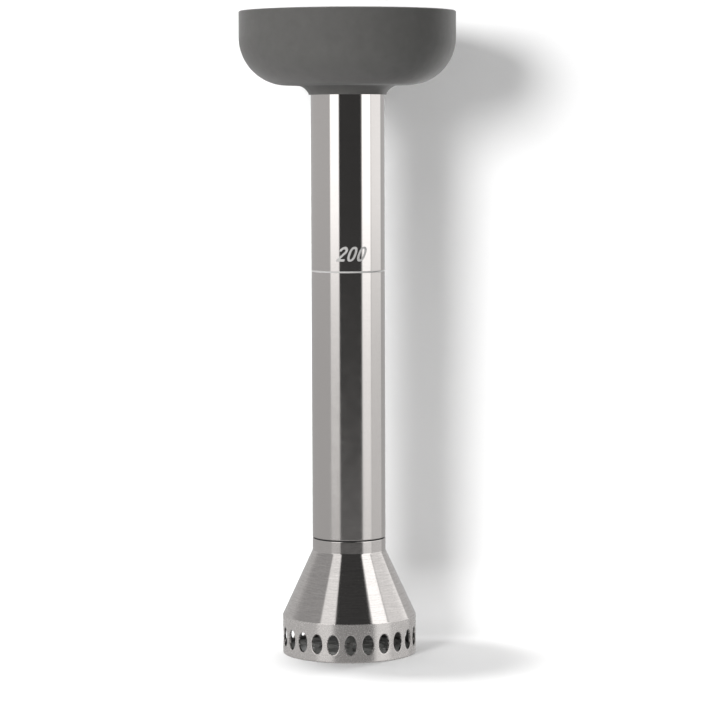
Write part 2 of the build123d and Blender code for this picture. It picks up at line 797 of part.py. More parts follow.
def tact_switches():
    """Three small switches, each with a round plunger."""
    with BuildPart() as switches:
        with BuildSketch(Plane.XY.offset(CONTROL_BOARD_HIGH)):
            with Locations(*BUTTON_SPOTS.values()):
                RectangleRounded(SWITCH_WIDTH, SWITCH_WIDTH, 0.5)
        extrude(amount=SWITCH_HEIGHT)
        with BuildSketch(Plane.XY.offset(CONTROL_BOARD_HIGH + SWITCH_HEIGHT)):
            with Locations(*BUTTON_SPOTS.values()):
                Circle(PLUNGER_R)
        extrude(amount=PLUNGER_HEIGHT)
    return switches.part


def transformer():
    """Laminated core with a taller winding bobbin."""
    with BuildPart() as body:
        with BuildSketch(Plane.XY.offset(POWER_BOARD_HIGH)):
            with Locations(TRANSFORMER_AT):
                Rectangle(*CORE_SIZE[:2])
        extrude(amount=CORE_SIZE[2])
        with BuildSketch(Plane.XY.offset(POWER_BOARD_HIGH)):
            with Locations(TRANSFORMER_AT):
                RectangleRounded(*BOBBIN_SIZE[:2], 2)
        extrude(amount=BOBBIN_SIZE[2])
    return body.part


def terminal_block():
    """Two-way screw terminal."""
    with BuildPart() as body:
        with BuildSketch(Plane.XY.offset(POWER_BOARD_HIGH)):
            with Locations(TERMINAL_AT):
                Rectangle(*TERMINAL_SIZE[:2])
        extrude(amount=TERMINAL_SIZE[2])
        with BuildSketch(Plane.XY.offset(POWER_BOARD_HIGH + TERMINAL_SIZE[2] - 2)):
            with Locations(TERMINAL_AT):
                with GridLocations(1, 6, 1, 2):
                    Circle(TERMINAL_SCREW_R)
        extrude(amount=2, mode=Mode.SUBTRACT)
    return body.part


def heat_sink():
    """Finned aluminium block for the heater switch."""
    with BuildPart() as sink:
        with BuildSketch(Plane.XY.offset(POWER_BOARD_HIGH)):
            with Locations(SINK_AT):
                Rectangle(*SINK_SIZE[:2])
        extrude(amount=SINK_BASE)
        with BuildSketch(Plane.XY.offset(POWER_BOARD_HIGH + SINK_BASE)):
            with Locations(SINK_AT):
                with GridLocations((SINK_SIZE[0] - 2) / (SINK_FINS - 1), 1, SINK_FINS, 1):
                    Rectangle(1.4, SINK_SIZE[1])
        extrude(amount=SINK_SIZE[2] - SINK_BASE)
    return sink.part


def cord_gland():
    """Round gland through the back wall, flush outside, with a clear bore for a lead."""
    with BuildPart() as gland:
        with BuildSketch(Plane.XZ.offset(-GLAND_IN)):
            with Locations((0, GLAND_Z)):
                Circle(GLAND_R)
                Circle(GLAND_BORE, mode=Mode.SUBTRACT)
        extrude(amount=-(GLAND_OUT - GLAND_IN))
    return gland.part


def gland_nut():
    """Hexagon nut that pulls the gland against the boss inside the wall."""
    with BuildPart() as nut:
        with BuildSketch(Plane.XZ.offset(-GLAND_BOSS_Y)):
            with Locations((0, GLAND_Z)):
                RegularPolygon(7.7, 6)
                Circle(GLAND_R, mode=Mode.SUBTRACT)
        extrude(amount=GLAND_BOSS_Y - 47)
    return nut.part


# ------------------------------------------------------------------------ write the pieces

save(foot_shell(), "foot_shell")
save(foot_base(), "foot_base")

save(tube(), "tube")
save(bulkhead(), "bulkhead")
save(rings(GASKET_R, SPIGOT_R, GASKET_LOW, TUBE_LOW), "tube_gasket")
save(o_ring(SEAL_MAJOR, SEAL_MINOR, SEAL_Z), "foot_seal")
save(heater_coil(OUTER_RING_R, OUTER_BEND_R, OUTER_RING_Z, 90, OUTER_LEG_SPREAD), "heater_coil_outer")
save(heater_coil(INNER_RING_R, INNER_BEND_R, INNER_RING_Z, 270, INNER_LEG_SPREAD), "heater_coil_inner")
save(heater_nuts(), "heater_nuts")
save(temperature_probe(), "temperature_probe")
save(rings(PIN_R, 0, PIN_LOW, LEG_TOP, PIN_SPOTS), "level_pins")
save(rings(SUPPORT_R, SUPPORT_BORE, SUPPORT_LOW, SUPPORT_HIGH), "shaft_support_tube")
save(rings(SUPPORT_BORE, RUNNING_BORE, SUPPORT_LOW, SUPPORT_LOW + 6), "lower_bush")
save(rings(BUSH_R, RUNNING_BORE, SEAL_POCKET_LOW, BUSH_LOW), "shaft_seal")
save(rings(BUSH_R, RUNNING_BORE, BUSH_LOW, BULKHEAD_TOP), "upper_bush")

save(rings(SHAFT_R, 0, SHAFT_LOW, SHAFT_HIGH), "rotor_shaft")
save(impeller(), "impeller")
save(impeller_nut(), "impeller_nut")
save(rotor_core(), "rotor_core")

save(motor_bracket(), "motor_bracket")
save(screws(BRACKET_SCREW, BRACKET_LOW, BRACKET_HIGH + CAN_BOTTOM, BRACKET_SCREW_SPOTS), "bracket_screws")
save(motor_can(), "motor_can")
save(rings(MOTOR_R - MOTOR_WALL, BEARING_R, MOTOR_HIGH - END_CAP_THICK, MOTOR_HIGH), "motor_end_cap")
save(motor_magnets(), "motor_magnets")
bearing_low = rings(BEARING_R, RUNNING_BORE, BRACKET_HIGH, BRACKET_HIGH + BEARING_HEIGHT)
bearing_high = rings(BEARING_R, RUNNING_BORE, MOTOR_HIGH - BEARING_HEIGHT, MOTOR_HIGH)
save(Compound(children=[bearing_low, bearing_high]), "motor_bearings")

heater_leads = [rising_lead(OUTER_LEG_AT, angle, LEG_TOP) for angle in leg_angles(90, OUTER_LEG_SPREAD)]
heater_leads += [rising_lead(INNER_LEG_AT, angle, LEG_TOP) for angle in leg_angles(270, INNER_LEG_SPREAD)]
save(Compound(children=heater_leads), "heater_leads")
save(rising_lead(PROBE_AT, PROBE_ANGLE, LEG_TOP), "probe_lead")
motor_lead_spots = [around(MOTOR_LEAD_AT, 20), around(MOTOR_LEAD_AT, 160)]
save(rings(LEAD_R, 0, MOTOR_HIGH, POWER_BOARD_LOW, motor_lead_spots), "motor_leads")

save(head_shell(), "head_shell")
save(o_ring(TUBE_R + NECK_SEAL_MINOR, NECK_SEAL_MINOR, NECK_SEAL_Z), "neck_seal")
save(tube_clamp(), "tube_clamp")
clamp_top = FLOOR + CLAMP_THICK
save(screws(CLAMP_SCREW, clamp_top, FLOOR - CLAMP_SCREW_DEPTH, CLAMP_SPOTS), "tube_clamp_screws")
save(top_cover(), "top_cover")
save(rings(COVER_R, LEDGE_R + 0.3, LEDGE_HIGH, COVER_LOW), "cover_gasket")
save(screws(CASE_SCREW, POST_SHELF, POST_TOP + CASE_SCREW_DEPTH - 1, POST_SPOTS), "case_screws")
save(case_plugs(), "case_plugs")
save(block(*LENS_SIZE, COVER_HIGH - LENS_THICK, COVER_HIGH, (0, LENS_Y), LENS_CORNER), "display_lens")
for name, spot in BUTTON_SPOTS.items():
    save(button(spot), f"button_{name}")

save(control_board(), "control_board")
control_screw_tip = CONTROL_BOARD_HIGH + CONTROL_SCREW_DEPTH - 1
save(screws(CONTROL_SCREW, CONTROL_BOARD_LOW, control_screw_tip, CONTROL_BOSS_SPOTS), "control_board_screws")
save(block(*DISPLAY_SIZE, CONTROL_BOARD_HIGH, DISPLAY_HIGH, (0, LENS_Y)), "display_module")
save(tact_switches(), "tact_switches")
save(rings(BUZZER_R, 0, CONTROL_BOARD_LOW - BUZZER_HEIGHT, CONTROL_BOARD_LOW, [BUZZER_AT]), "buzzer")
save(block(*CONNECTOR_SIZE, POWER_BOARD_HIGH, CONTROL_BOARD_LOW, CONNECTOR_AT), "board_connector")

save(power_board(), "power_board")
power_screw_tip = POWER_BOARD_LOW - STANDOFF_HOLE_DEPTH + 1
save(screws(POWER_SCREW, POWER_BOARD_HIGH, power_screw_tip, STANDOFF_SPOTS), "power_board_screws")
save(transformer(), "transformer")
save(block(*RELAY_SIZE[:2], POWER_BOARD_HIGH, POWER_BOARD_HIGH + RELAY_SIZE[2], RELAY_AT), "relay")
capacitor_top = POWER_BOARD_HIGH + CAPACITOR_HEIGHT
save(rings(CAPACITOR_R, 0, POWER_BOARD_HIGH, capacitor_top, [CAPACITOR_AT]), "filter_capacitor")
save(terminal_block(), "terminal_block")
save(heat_sink(), "heat_sink")

save(cord_gland(), "cord_gland")
save(gland_nut(), "gland_nut")
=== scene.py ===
"""Looks of the sous vide circulator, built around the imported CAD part."""
import json
import math

import bmesh
import bpy
from mathutils import Matrix, Vector

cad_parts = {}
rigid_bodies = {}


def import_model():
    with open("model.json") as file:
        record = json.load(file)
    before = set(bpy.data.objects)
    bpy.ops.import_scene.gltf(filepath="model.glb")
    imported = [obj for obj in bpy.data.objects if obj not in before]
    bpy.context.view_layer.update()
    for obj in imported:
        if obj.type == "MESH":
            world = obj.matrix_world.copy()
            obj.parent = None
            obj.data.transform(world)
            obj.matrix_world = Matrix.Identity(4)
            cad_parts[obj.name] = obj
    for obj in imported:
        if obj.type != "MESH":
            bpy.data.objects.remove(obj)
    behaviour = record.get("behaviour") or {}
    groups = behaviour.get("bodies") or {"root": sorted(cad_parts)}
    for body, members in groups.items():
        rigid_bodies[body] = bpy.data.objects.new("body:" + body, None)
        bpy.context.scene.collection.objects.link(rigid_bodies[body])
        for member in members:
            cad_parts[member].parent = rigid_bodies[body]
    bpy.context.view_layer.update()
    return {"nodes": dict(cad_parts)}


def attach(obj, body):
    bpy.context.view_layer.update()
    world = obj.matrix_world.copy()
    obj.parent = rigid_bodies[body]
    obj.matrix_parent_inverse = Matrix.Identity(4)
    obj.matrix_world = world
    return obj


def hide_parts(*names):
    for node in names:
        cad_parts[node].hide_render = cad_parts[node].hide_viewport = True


for leftover in list(bpy.data.objects):
    bpy.data.objects.remove(leftover)
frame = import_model()
NODES = frame["nodes"]
scene = bpy.context.scene
MM = 0.001
TAU = 2 * math.pi


# ------------------------------------------------------------------- node trees

class Tree:
    """Short calls for making a node tree."""

    def __init__(self, tree):
        self.tree = tree
        tree.nodes.clear()

    def add(self, kind, **settings):
        node = self.tree.nodes.new(kind)
        for key, value in settings.items():
            setattr(node, key, value)
        return node

    def link(self, source, target):
        self.tree.links.new(source, target)

    def feed(self, socket, value):
        """Gives a socket a number, a colour or another node's output."""
        if isinstance(value, bpy.types.NodeSocket):
            self.link(value, socket)
        elif isinstance(value, tuple) and socket.type == "RGBA":
            socket.default_value = (*value, 1.0)
        else:
            socket.default_value = value

    def math(self, operation, *values):
        node = self.add("ShaderNodeMath", operation=operation)
        for socket, value in zip(node.inputs, values):
            self.feed(socket, value)
        return node.outputs[0]

    def span(self, value, from_low, from_high, to_low, to_high, smooth=False):
        """Carries a value from one range to another and stops at its ends."""
        node = self.add("ShaderNodeMapRange", clamp=True)
        if smooth:
            node.interpolation_type = "SMOOTHSTEP"
        for socket, given in zip(node.inputs, (value, from_low, from_high, to_low, to_high)):
            self.feed(socket, given)
        return node.outputs[0]

    def mix(self, factor, first, second):
        node = self.add("ShaderNodeMix", data_type="RGBA")
        self.feed(node.inputs[0], factor)
        self.feed(node.inputs[6], first)
        self.feed(node.inputs[7], second)
        return node.outputs[2]

    def coordinates(self, stretch=(1.0, 1.0, 1.0)):
        """The object's own coordinates in millimetres, each times its stretch."""
        place = self.add("ShaderNodeTexCoord")
        sized = self.add("ShaderNodeVectorMath", operation="MULTIPLY")
        self.link(place.outputs["Object"], sized.inputs[0])
        sized.inputs[1].default_value = [s / MM for s in stretch]
        return sized.outputs[0]

    def noise(self, vector, size, detail=3.0, roughness=0.55):
        """Noise about 0.5 whose lumps are about size millimetres across."""
        node = self.add("ShaderNodeTexNoise")
        self.link(vector, node.inputs["Vector"])
        node.inputs["Scale"].default_value = 1 / size
        node.inputs["Detail"].default_value = detail
        node.inputs["Roughness"].default_value = roughness
        return node.outputs[0]

    def bump(self, height, depth, normal=None):
        node = self.add("ShaderNodeBump")
        node.inputs["Distance"].default_value = depth * MM
        self.link(height, node.inputs["Height"])
        if normal is not None:
            self.link(normal, node.inputs["Normal"])
        return node.outputs[0]


def material(name, **sockets):
    made = bpy.data.materials.new(name)
    made.use_nodes = True
    tree = Tree(made.node_tree)
    shader = tree.add("ShaderNodeBsdfPrincipled")
    output = tree.add("ShaderNodeOutputMaterial")
    tree.link(shader.outputs[0], output.inputs["Surface"])
    for socket, value in sockets.items():
        tree.feed(shader.inputs[socket.replace("_", " ")], value)
    return made, tree, shader


def shades(colour, amount):
    return tuple(c * (1 - amount) for c in colour), tuple(min(1.0, c * (1 + amount)) for c in colour)


def moulded(name, colour, roughness, grain=0.3, depth=0.01, mottle=0.06, scuff=0.07, **sockets):
    """Moulded, rubber or coated surface: fine grain, a cloudy tone and patches of wear in the gloss."""
    made, tree, shader = material(name, **sockets)
    place = tree.coordinates()
    dark, light = shades(colour, mottle)
    cloud = tree.span(tree.noise(place, 7.0, 5.0), 0.3, 0.7, 0.0, 1.0)
    tree.feed(shader.inputs["Base Color"], tree.mix(cloud, dark, light))
    low, high = max(0.02, roughness - scuff), min(1.0, roughness + scuff)
    tree.feed(shader.inputs["Roughness"], tree.span(tree.noise(place, 3.0, 5.0), 0.3, 0.7, low, high))
    tree.feed(shader.inputs["Normal"], tree.bump(tree.noise(place, grain, 2.0, 0.6), depth))
    return made


def metal(name, colour, roughness, lines=(1.0, 1.0, 0.1), size=0.4, depth=0.003, spread=0.08, **sockets):
    """Bare metal with the fine lines that its finishing left."""
    made, tree, shader = material(name, Metallic=1.0, **sockets)
    place = tree.coordinates()
    streak = tree.noise(tree.coordinates(lines), size, 4.0, 0.65)
    dark, light = shades(colour, spread)
    tree.feed(shader.inputs["Base Color"], tree.mix(tree.span(streak, 0.3, 0.7, 0.0, 1.0), dark, light))
    cloud = tree.span(tree.noise(place, 4.0, 4.0), 0.3, 0.7, roughness * 0.8, roughness * 1.25)
    tree.feed(shader.inputs["Roughness"], cloud)
    tree.feed(shader.inputs["Normal"], tree.bump(streak, depth))
    return made


# -------------------------------------------------------------- stainless steel

STEEL = (0.752, 0.720, 0.700)


def turned_steel(name, gloss_low, gloss_high, low_z, high_z, line, tone, grain, stretch=0.06, anisotropic=0.6,
                 metallic=1.0):
    """Stainless steel finished round the axis. Its gloss changes from low_z to high_z, in millimetres."""
    made, tree, shader = material(name, Metallic=metallic, Anisotropic=anisotropic)
    place = tree.coordinates()
    split = tree.add("ShaderNodeSeparateXYZ")
    tree.link(place, split.inputs[0])
    fine = tree.noise(tree.coordinates((stretch, stretch, 1.0)), line, 5.0, 0.7)
    fleck = tree.noise(tree.coordinates((0.45, 0.45, 1.0)), 0.5, 3.0, 0.7)
    cloud = tree.noise(place, 5.0, 5.0)
    worn = tree.math("ADD", tree.math("MULTIPLY", fine, 0.6), tree.math("MULTIPLY", fleck, 0.4))
    dark, light = shades(STEEL, tone)
    tree.feed(shader.inputs["Base Color"], tree.mix(tree.span(worn, 0.33, 0.67, 0.0, 1.0), dark, light))
    gloss = tree.span(split.outputs[2], low_z, high_z, gloss_low, gloss_high)
    change = tree.span(tree.math("ADD", cloud, fleck), 0.6, 1.4, 0.75, 1.3)
    tree.feed(shader.inputs["Roughness"], tree.math("MULTIPLY", gloss, change))
    lines = tree.bump(fine, grain)
    tree.feed(shader.inputs["Normal"], tree.bump(fleck, grain * 0.8, lines))
    tangent = tree.add("ShaderNodeTangent", direction_type="RADIAL", axis="Z")
    tree.link(tangent.outputs[0], shader.inputs["Tangent"])
    shader.inputs["Anisotropic Rotation"].default_value = 0.25
    return made


steel_tube = turned_steel("steel_tube", 0.17, 0.085, 90, 230, 0.4, 0.03, 0.0006, 0.03)
steel_collar = turned_steel("steel_collar", 0.15, 0.15, 0, 1, 0.4, 0.05, 0.0012)
steel_cone = turned_steel("steel_cone", 0.085, 0.085, 0, 1, 0.6, 0.16, 0.006)
steel_band = turned_steel("steel_band", 0.26, 0.26, 0, 1, 0.4, 0.05, 0.002, anisotropic=0.85, metallic=0.9)
# The inner face of the foot wall gets a dark steel colour: painted shade for the hollow seen through the
# holes.
inside_steel_painted_shade = metal("inside_steel_painted_shade", (0.16, 0.155, 0.15), 0.35, (0.3, 0.3, 1.0))

etched, tree, shader = material("etched", Specular_IOR_Level=0.25)
frost = tree.coordinates((0.4, 0.4, 1.0))
pits = tree.span(tree.noise(frost, 0.35, 4.0, 0.7), 0.3, 0.7, 0.0, 1.0)
tree.feed(shader.inputs["Base Color"], tree.mix(pits, (0.34, 0.335, 0.33), (0.42, 0.415, 0.405)))
tree.feed(shader.inputs["Roughness"], tree.span(tree.noise(frost, 1.0), 0.3, 0.7, 0.6, 0.8))
tree.feed(shader.inputs["Normal"], tree.bump(tree.noise(frost, 0.12, 2.0), 0.006))


# -------------------------------------------------------------- other finishes

head_grey = moulded("head_grey", (0.086, 0.0845, 0.0815), 0.75, 0.28, 0.012, 0.05, 0.06,
                    Specular_IOR_Level=0.22, Sheen_Weight=0.15, Sheen_Roughness=0.4)
cover_grey = moulded("cover_grey", (0.085, 0.084, 0.082), 0.6, 0.28, 0.012)
black_plastic = moulded("moulded_black", (0.022, 0.022, 0.023), 0.5)
grille_grey = moulded("grille_grey", (0.2, 0.2, 0.195), 0.55, 0.35, 0.012)
white_plastic = moulded("moulded_white", (0.68, 0.68, 0.65), 0.45)
switch_black = moulded("switch_black", (0.018, 0.018, 0.018), 0.4, 0.2, 0.004)
impeller_grey = moulded("impeller_grey", (0.3, 0.3, 0.29), 0.42, 0.4, 0.008)
relay_blue = moulded("relay_blue", (0.03, 0.12, 0.45), 0.3, 0.5, 0.004)
terminal_green = moulded("terminal_green", (0.02, 0.28, 0.12), 0.35, 0.5, 0.004)
sleeve = moulded("capacitor_sleeve", (0.03, 0.04, 0.1), 0.28, 1.2, 0.004)
seal_black = moulded("seal_black", (0.014, 0.014, 0.014), 0.75, 0.2, 0.012)
button_grey = moulded("button_grey", (0.15, 0.15, 0.148), 0.7, 0.22, 0.012, Sheen_Weight=0.15)
red_sleeve = moulded("red_sleeve", (0.45, 0.03, 0.02), 0.5, 0.5, 0.006)
black_sleeve = moulded("black_sleeve", (0.02, 0.02, 0.02), 0.5, 0.5, 0.006)
white_sleeve = moulded("white_sleeve", (0.75, 0.75, 0.72), 0.5, 0.5, 0.006)
symbol_white = moulded("symbol_white", (0.78, 0.78, 0.76), 0.55, 0.2, 0.004)
plain_steel = metal("plain_steel", (0.62, 0.61, 0.6), 0.28)
aluminium = metal("satin_aluminium", (0.76, 0.76, 0.77), 0.35, (0.15, 1.0, 1.0), 0.5, 0.004)
bronze = metal("sintered_bronze", (0.58, 0.4, 0.24), 0.45, (1.0, 1.0, 1.0), 0.3, 0.006)
ferrite = metal("ferrite", (0.07, 0.07, 0.075), 0.55, (1.0, 1.0, 1.0), 0.4, 0.006)
laminations = metal("laminations", (0.26, 0.25, 0.24), 0.5, (0.05, 0.05, 1.0), 0.35, 0.02, 0.25)


def heated_steel():
    """Drawn element tube with straw and blue heat tints in soft patches."""
    made, tree, shader = material("heated_steel", Metallic=1.0)
    place = tree.coordinates()
    patch = tree.span(tree.noise(place, 9.0, 3.0), 0.35, 0.65, 0.0, 1.0)
    straw = tree.mix(patch, (0.5, 0.47, 0.43), (0.5, 0.4, 0.27))
    blue = tree.span(tree.noise(place, 5.0, 4.0), 0.56, 0.72, 0.0, 0.6)
    tree.feed(shader.inputs["Base Color"], tree.mix(blue, straw, (0.3, 0.31, 0.38)))
    tree.feed(shader.inputs["Roughness"], tree.span(tree.noise(place, 1.2, 5.0), 0.3, 0.7, 0.22, 0.42))
    tree.feed(shader.inputs["Normal"], tree.bump(tree.noise(place, 0.5, 3.0), 0.006))
    return made


def circuit_board():
    """Green solder mask over raised copper tracks on a grid, with small gold pads."""
    made, tree, shader = material("circuit_board", Coat_Weight=0.3, Coat_Roughness=0.2)
    place = tree.coordinates()
    tracks = tree.add("ShaderNodeTexVoronoi", feature="F1", distance="CHEBYCHEV")
    tree.link(place, tracks.inputs["Vector"])
    tracks.inputs["Scale"].default_value = 0.25
    rings = tree.math("FRACT", tree.math("MULTIPLY", tracks.outputs["Distance"], 4.0))
    edge = tree.span(rings, 0.55, 0.62, 0.0, 1.0)
    mask = tree.mix(edge, (0.008, 0.1, 0.045), (0.014, 0.17, 0.07))
    pads = tree.add("ShaderNodeTexVoronoi", feature="F1")
    tree.link(place, pads.inputs["Vector"])
    pads.inputs["Scale"].default_value = 0.4
    pad = tree.span(pads.outputs["Distance"], 0.16, 0.2, 1.0, 0.0)
    tree.feed(shader.inputs["Base Color"], tree.mix(pad, mask, (0.75, 0.6, 0.3)))
    tree.feed(shader.inputs["Roughness"], tree.span(tree.noise(place, 2.0), 0.3, 0.7, 0.25, 0.4))
    tree.feed(shader.inputs["Normal"], tree.bump(edge, 0.03))
    return made


def smoked_lens():
    """Dark polished window with faint dust and hairline scratches in its gloss."""
    made, tree, shader = material("smoked_lens", Coat_Weight=0.6, Coat_Roughness=0.03)
    place = tree.coordinates()
    cloud = tree.span(tree.noise(place, 12.0, 3.0), 0.3, 0.7, 0.0, 1.0)
    tree.feed(shader.inputs["Base Color"], tree.mix(cloud, (0.006, 0.006, 0.007), (0.01, 0.01, 0.012)))
    hair = tree.noise(tree.coordinates((1.0, 0.05, 1.0)), 0.5, 5.0, 0.8)
    tree.feed(shader.inputs["Roughness"], tree.span(hair, 0.55, 0.8, 0.05, 0.2))
    tree.feed(shader.inputs["Normal"], tree.bump(hair, 0.0008))
    return made


def lit_segment():
    """Glowing display segment whose glow changes a little in soft random patches."""
    made, tree, shader = material("lit_segment", Roughness=0.4)
    glow = tree.span(tree.noise(tree.coordinates(), 2.5), 0.3, 0.7, 0.0, 1.0)
    colour = tree.mix(glow, (0.62, 0.8, 0.88), (0.85, 0.95, 1.0))
    tree.feed(shader.inputs["Base Color"], colour)
    tree.feed(shader.inputs["Emission Color"], colour)
    shader.inputs["Emission Strength"].default_value = 0.9
    return made


lens_black = smoked_lens()
segment_white = lit_segment()
FINISH = {
    "polished_steel": steel_tube, "plain_steel": plain_steel, "heater_steel": heated_steel(),
    "aluminium": aluminium, "bronze": bronze, "ferrite": ferrite, "laminations": laminations,
    "head_plastic": head_grey, "cover_plastic": cover_grey, "black_plastic": black_plastic,
    "grey_plastic": grille_grey, "white_plastic": white_plastic, "switch_black": switch_black,
    "impeller_plastic": impeller_grey, "relay_blue": relay_blue, "terminal_green": terminal_green,
    "capacitor_sleeve": sleeve, "circuit_board": circuit_board(), "lens": lens_black,
    "black_rubber": seal_black, "button_rubber": button_grey, "red_silicone": red_sleeve,
    "black_silicone": black_sleeve, "white_silicone": white_sleeve,
}
for node in NODES.values():
    slot = node.material_slots[0].material.name.split(".")[0]
    node.material_slots[0].material = FINISH[slot]


# ------------------------------------------------------------------ mesh making

def finish_mesh(name, verts, faces, sharp=32.0):
    """An object from vertices in millimetres, shaded smooth except where it turns sharply."""
    mesh = bpy.data.meshes.new(name)
    mesh.from_pydata([tuple(c * MM for c in v) for v in verts], [], faces)
    work = bmesh.new()
    work.from_mesh(mesh)
    bmesh.ops.remove_doubles(work, verts=work.verts, dist=1e-7)
    bmesh.ops.recalc_face_normals(work, faces=work.faces)
    work.to_mesh(mesh)
    work.free()
    mesh.polygons.foreach_set("use_smooth", [True] * len(mesh.polygons))
    mesh.set_sharp_from_angle(angle=math.radians(sharp))
    made = bpy.data.objects.new(name, mesh)
    scene.collection.objects.link(made)
    return made


def rounded(corners, steps=4, guard=0.25):
    """An outline of (across, up, radius) corners with each corner turned into an arc.

    A point just before and after each arc keeps its shading from spreading along the faces beside it.
    """
    out = []
    for i, (x, z, radius) in enumerate(corners):
        here = Vector((x, z))
        before = Vector(corners[i - 1][:2]) - here
        after = Vector(corners[(i + 1) % len(corners)][:2]) - here
        if radius <= 0:
            out.append((x, z))
            continue
        a, b = before.normalized(), after.normalized()
        half = a.angle(b) / 2
        reach = radius / math.tan(half)
        centre = here + (a + b).normalized() * (radius / math.sin(half))
        start, end = here + a * reach, here + b * reach
        if before.length > reach + 2 * guard:
            out.append(tuple(start + a * guard))
        for step in range(steps + 1):
            t = step / steps
            ray = (start - centre).lerp(end - centre, t)
            out.append(tuple(centre + ray.normalized() * radius))
        if after.length > reach + 2 * guard:
            out.append(tuple(end + b * guard))
    return out


def turned(outline, segments=256, offset=0.0, closed=True):
    """Vertices and faces of a (radius, height) outline turned about the Z axis."""
    count = len(outline)
    verts, faces = [], []
    for step in range(segments):
        angle = TAU * step / segments + offset
        verts += [(r * math.cos(angle), r * math.sin(angle), z) for r, z in outline]
    for step in range(segments):
        a, b = step * count, (step + 1) % segments * count
        for i in range(count if closed else count - 1):
            j = (i + 1) % count
            faces.append((a + i, b + i, b + j, a + j))
    return verts, faces


def place(piece, body, slot, finish, *stands_for):
    """Gives a piece its finish, its body and the CAD nodes that it stands for."""
    for one in finish if isinstance(finish, (list, tuple)) else [finish]:
        piece.data.materials.append(one)
    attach(piece, body)
    if stands_for:
        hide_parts(*stands_for)
    return piece


# ------------------------------------------------------------------------- tube

TUBE_R, TUBE_BORE = 19.05, 18.05
TUBE_LOW, TUBE_HIGH = 61.0, 304.0
LINE_Z, LINE_HALF, LINE_DEPTH = 200.0, 0.45, 0.1
line_floor = TUBE_R - LINE_DEPTH
outline = rounded([
    (TUBE_BORE, TUBE_LOW, 0.2), (TUBE_R, TUBE_LOW, 0.25),
    (TUBE_R, LINE_Z - LINE_HALF, 0), (line_floor, LINE_Z - LINE_HALF, 0),
    (line_floor, LINE_Z + LINE_HALF, 0), (TUBE_R, LINE_Z + LINE_HALF, 0),
    (TUBE_R, TUBE_HIGH, 0.25), (TUBE_BORE, TUBE_HIGH, 0.2),
])
place(finish_mesh("tube_wall", *turned(outline)), "stick", "polished_steel", steel_tube, "tube")

outline = rounded([
    (line_floor - 0.02, LINE_Z - LINE_HALF + 0.01, 0), (TUBE_R - 0.02, LINE_Z - LINE_HALF + 0.01, 0.02),
    (TUBE_R - 0.02, LINE_Z + LINE_HALF - 0.01, 0.02), (line_floor - 0.02, LINE_Z + LINE_HALF - 0.01, 0),
], 2, 1.0)
place(finish_mesh("depth_line", *turned(outline)), "stick", "polished_steel", etched)

# Etched number by the line: bold sloping figures that lie on the tube.
FIGURE_LOW, FIGURE_HIGH = 205.5, 213.1
FIGURE_WIDTH, FIGURE_GAP, FIGURE_STROKE = 4.3, 0.8, 1.25
FIGURE_SLOPE = 0.36
FIGURE_AZIMUTH = 5.7
FIGURE_SKIN = 0.03
figure_tall = FIGURE_HIGH - FIGURE_LOW


def on_tube(across, up, lift):
    """A point on the tube from its distance round it and up it, in the figures' own plane."""
    slant = FIGURE_SLOPE * (up - figure_tall / 2)
    angle = math.radians(FIGURE_AZIMUTH) + (across + slant) / TUBE_R
    r = TUBE_R + lift
    return (r * math.sin(angle), -r * math.cos(angle), FIGURE_LOW + up)


def ribbon(left, right, ring):
    """A thin raised strip between two lines of (across, up) points."""
    verts, faces = [], []
    for one, other in zip(left, right):
        verts += [on_tube(*one, -0.05), on_tube(*one, FIGURE_SKIN),
                  on_tube(*other, FIGURE_SKIN), on_tube(*other, -0.05)]
    count = len(left)
    for i in range(count if ring else count - 1):
        a, b = 4 * i, 4 * ((i + 1) % count)
        faces += [(a, a + 1, b + 1, b), (a + 1, a + 2, b + 2, b + 1), (a + 2, a + 3, b + 3, b + 2)]
    if not ring:
        faces += [(0, 1, 2, 3), tuple(4 * (count - 1) + k for k in (3, 2, 1, 0))]
    return verts, faces


def stroke(points, width):
    """The two sides of a line drawn with a broad nib."""
    left, right = [], []
    for i, point in enumerate(points):
        a, b = Vector(points[max(i - 1, 0)]), Vector(points[min(i + 1, len(points) - 1)])
        side = (b - a).normalized().orthogonal() * width / 2
        left.append(tuple(Vector(point) + side))
        right.append(tuple(Vector(point) - side))
    return left, right


def nought(start):
    """Sides of a narrow round 0 whose left edge is at start."""
    sides = []
    for inset in (0.0, FIGURE_STROKE):
        wide, tall = FIGURE_WIDTH / 2 - inset, figure_tall / 2 - inset * 0.88
        ring = []
        for step in range(56):
            t = TAU * step / 56
            c, s = math.cos(t), math.sin(t)
            ring.append((start + FIGURE_WIDTH / 2 + wide * math.copysign(abs(c) ** 0.82, c),
                         figure_tall / 2 + tall * math.copysign(abs(s) ** 0.82, s)))
        sides.append(ring)
    return sides


def two(start):
    """Sides of the bow and diagonal of a 2, and of its foot."""
    half = FIGURE_STROKE / 2
    bow = FIGURE_WIDTH / 2 - half
    middle = Vector((start + FIGURE_WIDTH / 2, figure_tall - half - bow))
    points = []
    for step in range(19):
        t = math.radians(190 - 226 * step / 18)
        points.append((middle.x + bow * math.cos(t), middle.y + bow * math.sin(t)))
    tail = Vector((start + half * 0.9, half * 1.3))
    last = Vector(points[-1])
    points += [tuple(last.lerp(tail, t)) for t in (0.12, 0.35, 0.6, 0.85, 1.0)]
    foot = [(start + 0.05 + (FIGURE_WIDTH - 0.1) * t, half) for t in (0, 0.25, 0.5, 0.75, 1)]
    return [stroke(points, FIGURE_STROKE), stroke(foot, FIGURE_STROKE)]


step_across = FIGURE_WIDTH + FIGURE_GAP
first = -(3 * FIGURE_WIDTH + 2 * FIGURE_GAP) / 2
figures = [(side, False) for side in two(first)] + [(nought(first + step_across * k), True) for k in (1, 2)]
verts, faces = [], []
for (left, right), ring in figures:
    more, joined = ribbon(left, right, ring)
    faces += [tuple(len(verts) + v for v in face) for face in joined]
    verts += more
place(finish_mesh("depth_figures", verts, faces), "stick", "polished_steel", etched)


